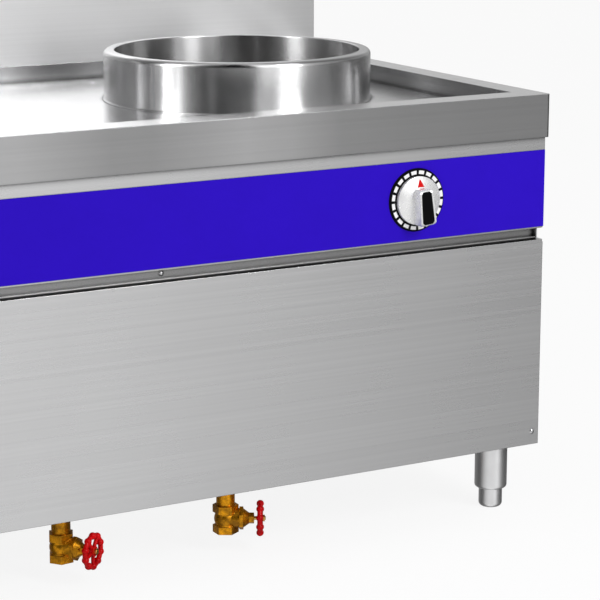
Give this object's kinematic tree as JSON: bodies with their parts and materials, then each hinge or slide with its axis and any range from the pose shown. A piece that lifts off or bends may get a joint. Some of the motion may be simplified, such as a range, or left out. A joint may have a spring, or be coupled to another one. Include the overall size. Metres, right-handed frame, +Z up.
{
  "type": "wok range",
  "caption": "Gas wok range with thick wok rings in a sunk top, lined burners with blowers, coloured control band with knobs, backsplash flues and gate valves below.",
  "frame": {"origin": "on the floor, under the middle of the box round the whole part, knob grips and rear screw heads included", "axes": "+X to the right along the front, +Y to the back, +Z up; the knobs face -Y"},
  "size_m": [1.6, 1.0356, 1.2],
  "materials": {
    "brushed_sheet": "brushed",
    "mirror_steel": "mirror polished",
    "polished_tube": "polished",
    "plain_sheet": "dull",
    "galvanised_sheet": "galvanised",
    "frame_steel": "primed",
    "blue_sheet": "satin",
    "dial_black": "printed",
    "knob_silver": "metallised",
    "inset_black": "gloss",
    "cast_brass": "cast",
    "turned_brass": "turned",
    "red_paint": "gloss",
    "black_iron": "rough",
    "refractory": "rough",
    "blower_paint": "semi-gloss",
    "screw_steel": "bright"
  },
  "bodies": {
    "range": {"worktop": "brushed_sheet", "wok_ring_left": "mirror_steel", "wok_ring_right": "mirror_steel", "backsplash": "brushed_sheet", "backsplash_cover": "plain_sheet", "control_panel": "brushed_sheet", "colour_panel": "blue_sheet", "groove_rail": "brushed_sheet", "lower_panel": "brushed_sheet", "side_panel_left": "brushed_sheet", "side_panel_right": "brushed_sheet", "rear_panel": "plain_sheet", "bottom_pan": "galvanised_sheet", "base_frame": "frame_steel", "upper_frame": "frame_steel", "legs": "polished_tube", "chamber_left": "galvanised_sheet", "chamber_right": "galvanised_sheet", "lining_left": "refractory", "lining_right": "refractory", "burner_left": "black_iron", "burner_right": "black_iron", "air_pipe_left": "galvanised_sheet", "air_pipe_right": "galvanised_sheet", "blower_housing_left": "blower_paint", "blower_housing_right": "blower_paint", "blower_motor_left": "black_iron", "blower_motor_right": "black_iron", "flue_left": "galvanised_sheet", "flue_right": "galvanised_sheet", "gas_pipes_left": "cast_brass", "gas_pipes_right": "cast_brass", "control_valve_left": "cast_brass", "control_valve_right": "cast_brass", "dial_left": "dial_black", "dial_right": "dial_black", "gate_valve_left": "cast_brass", "gate_valve_right": "cast_brass", "bonnet_left": "cast_brass", "bonnet_right": "cast_brass", "screws": "screw_steel"},
    "knob_left": {"knob_left": "knob_silver", "knob_inset_left": "inset_black", "spindle_left": "turned_brass"},
    "wheel_left": {"handwheel_left": "red_paint", "valve_stem_left": "turned_brass"},
    "gate_left": {"gate_left": "turned_brass"},
    "fan_left": {"impeller_left": "galvanised_sheet"},
    "knob_right": {"knob_right": "knob_silver", "knob_inset_right": "inset_black", "spindle_right": "turned_brass"},
    "wheel_right": {"handwheel_right": "red_paint", "valve_stem_right": "turned_brass"},
    "gate_right": {"gate_right": "turned_brass"},
    "fan_right": {"impeller_right": "galvanised_sheet"},
    "foot_front_left": {"foot_front_left": "polished_tube"},
    "foot_front_right": {"foot_front_right": "polished_tube"},
    "foot_rear_left": {"foot_rear_left": "polished_tube"},
    "foot_rear_right": {"foot_rear_right": "polished_tube"}
  },
  "joints": [
    {"name": "knob_turn_left", "type": "hinge", "parent": "range", "child": "knob_left", "pos_m": [-0.513, -0.48475, 0.626], "axis": [0, -1, 0], "range_deg": [0, 270]},
    {"name": "knob_turn_right", "type": "hinge", "parent": "range", "child": "knob_right", "pos_m": [0.513, -0.48475, 0.626], "axis": [0, -1, 0], "range_deg": [0, 270]},
    {"name": "wheel_turn_left", "type": "hinge", "parent": "range", "child": "wheel_left", "pos_m": [-0.161, -0.40475, 0.061], "axis": [0.6018, -0.7986, 0], "range_deg": [0, 2160]},
    {"name": "gate_lift_left", "type": "slide", "parent": "range", "child": "gate_left", "axis": [0.6018, -0.7986, 0], "range_m": [0, 0.024]},
    {"name": "wheel_turn_right", "type": "hinge", "parent": "range", "child": "wheel_right", "pos_m": [0.161, -0.40475, 0.061], "axis": [0.866, -0.5, 0], "range_deg": [0, 2160]},
    {"name": "gate_lift_right", "type": "slide", "parent": "range", "child": "gate_right", "axis": [0.866, -0.5, 0], "range_m": [0, 0.024]},
    {"name": "fan_spin_left", "type": "hinge", "parent": "range", "child": "fan_left", "pos_m": [-0.394, 0.33525, 0.262], "axis": [-1, 0, 0], "continuous": true},
    {"name": "fan_spin_right", "type": "hinge", "parent": "range", "child": "fan_right", "pos_m": [0.394, 0.33525, 0.262], "axis": [1, 0, 0], "continuous": true},
    {"name": "foot_wind_front_left", "type": "slide", "parent": "range", "child": "foot_front_left", "axis": [0, 0, -1], "range_m": [0, 0.03]},
    {"name": "foot_wind_front_right", "type": "slide", "parent": "range", "child": "foot_front_right", "axis": [0, 0, -1], "range_m": [0, 0.03]},
    {"name": "foot_wind_rear_left", "type": "slide", "parent": "range", "child": "foot_rear_left", "axis": [0, 0, -1], "range_m": [0, 0.03]},
    {"name": "foot_wind_rear_right", "type": "slide", "parent": "range", "child": "foot_rear_right", "axis": [0, 0, -1], "range_m": [0, 0.03]}
  ],
  "couplings": [
    {"joint": "gate_lift_left", "follows": "wheel_turn_left", "m_per_rad": 0.00063662},
    {"joint": "gate_lift_right", "follows": "wheel_turn_right", "m_per_rad": 0.00063662}
  ]
}
